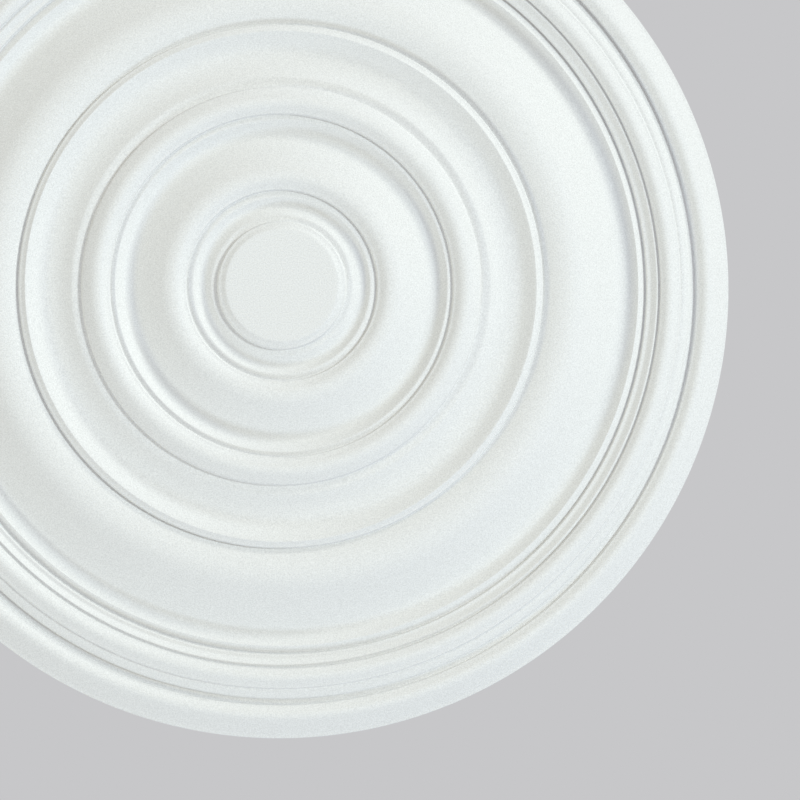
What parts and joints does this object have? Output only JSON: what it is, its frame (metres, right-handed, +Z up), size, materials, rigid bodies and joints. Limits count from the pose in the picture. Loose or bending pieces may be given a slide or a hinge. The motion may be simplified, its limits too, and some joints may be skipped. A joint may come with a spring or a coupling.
{
  "type": "ceiling rose",
  "caption": "Round plain moulded ceiling rose in white plaster: a flat centre pad ringed by swells, lips and fillets that fall away to a thin rim, with a flat back for the ceiling.",
  "frame": {"origin": "middle of the flat back, in the plane of the ceiling", "axes": "+Z is up, out of the flat back into the ceiling, along the rose's axis; the mouldings face down, along -Z; X and Y lie in the ceiling, and the rose is the same all round"},
  "size_m": [0.6, 0.6, 0.04],
  "materials": {
    "white_plaster": "fine cast plaster with matt white paint"
  },
  "bodies": {
    "root": {"ceiling_rose": "white_plaster"}
  },
  "joints": []
}
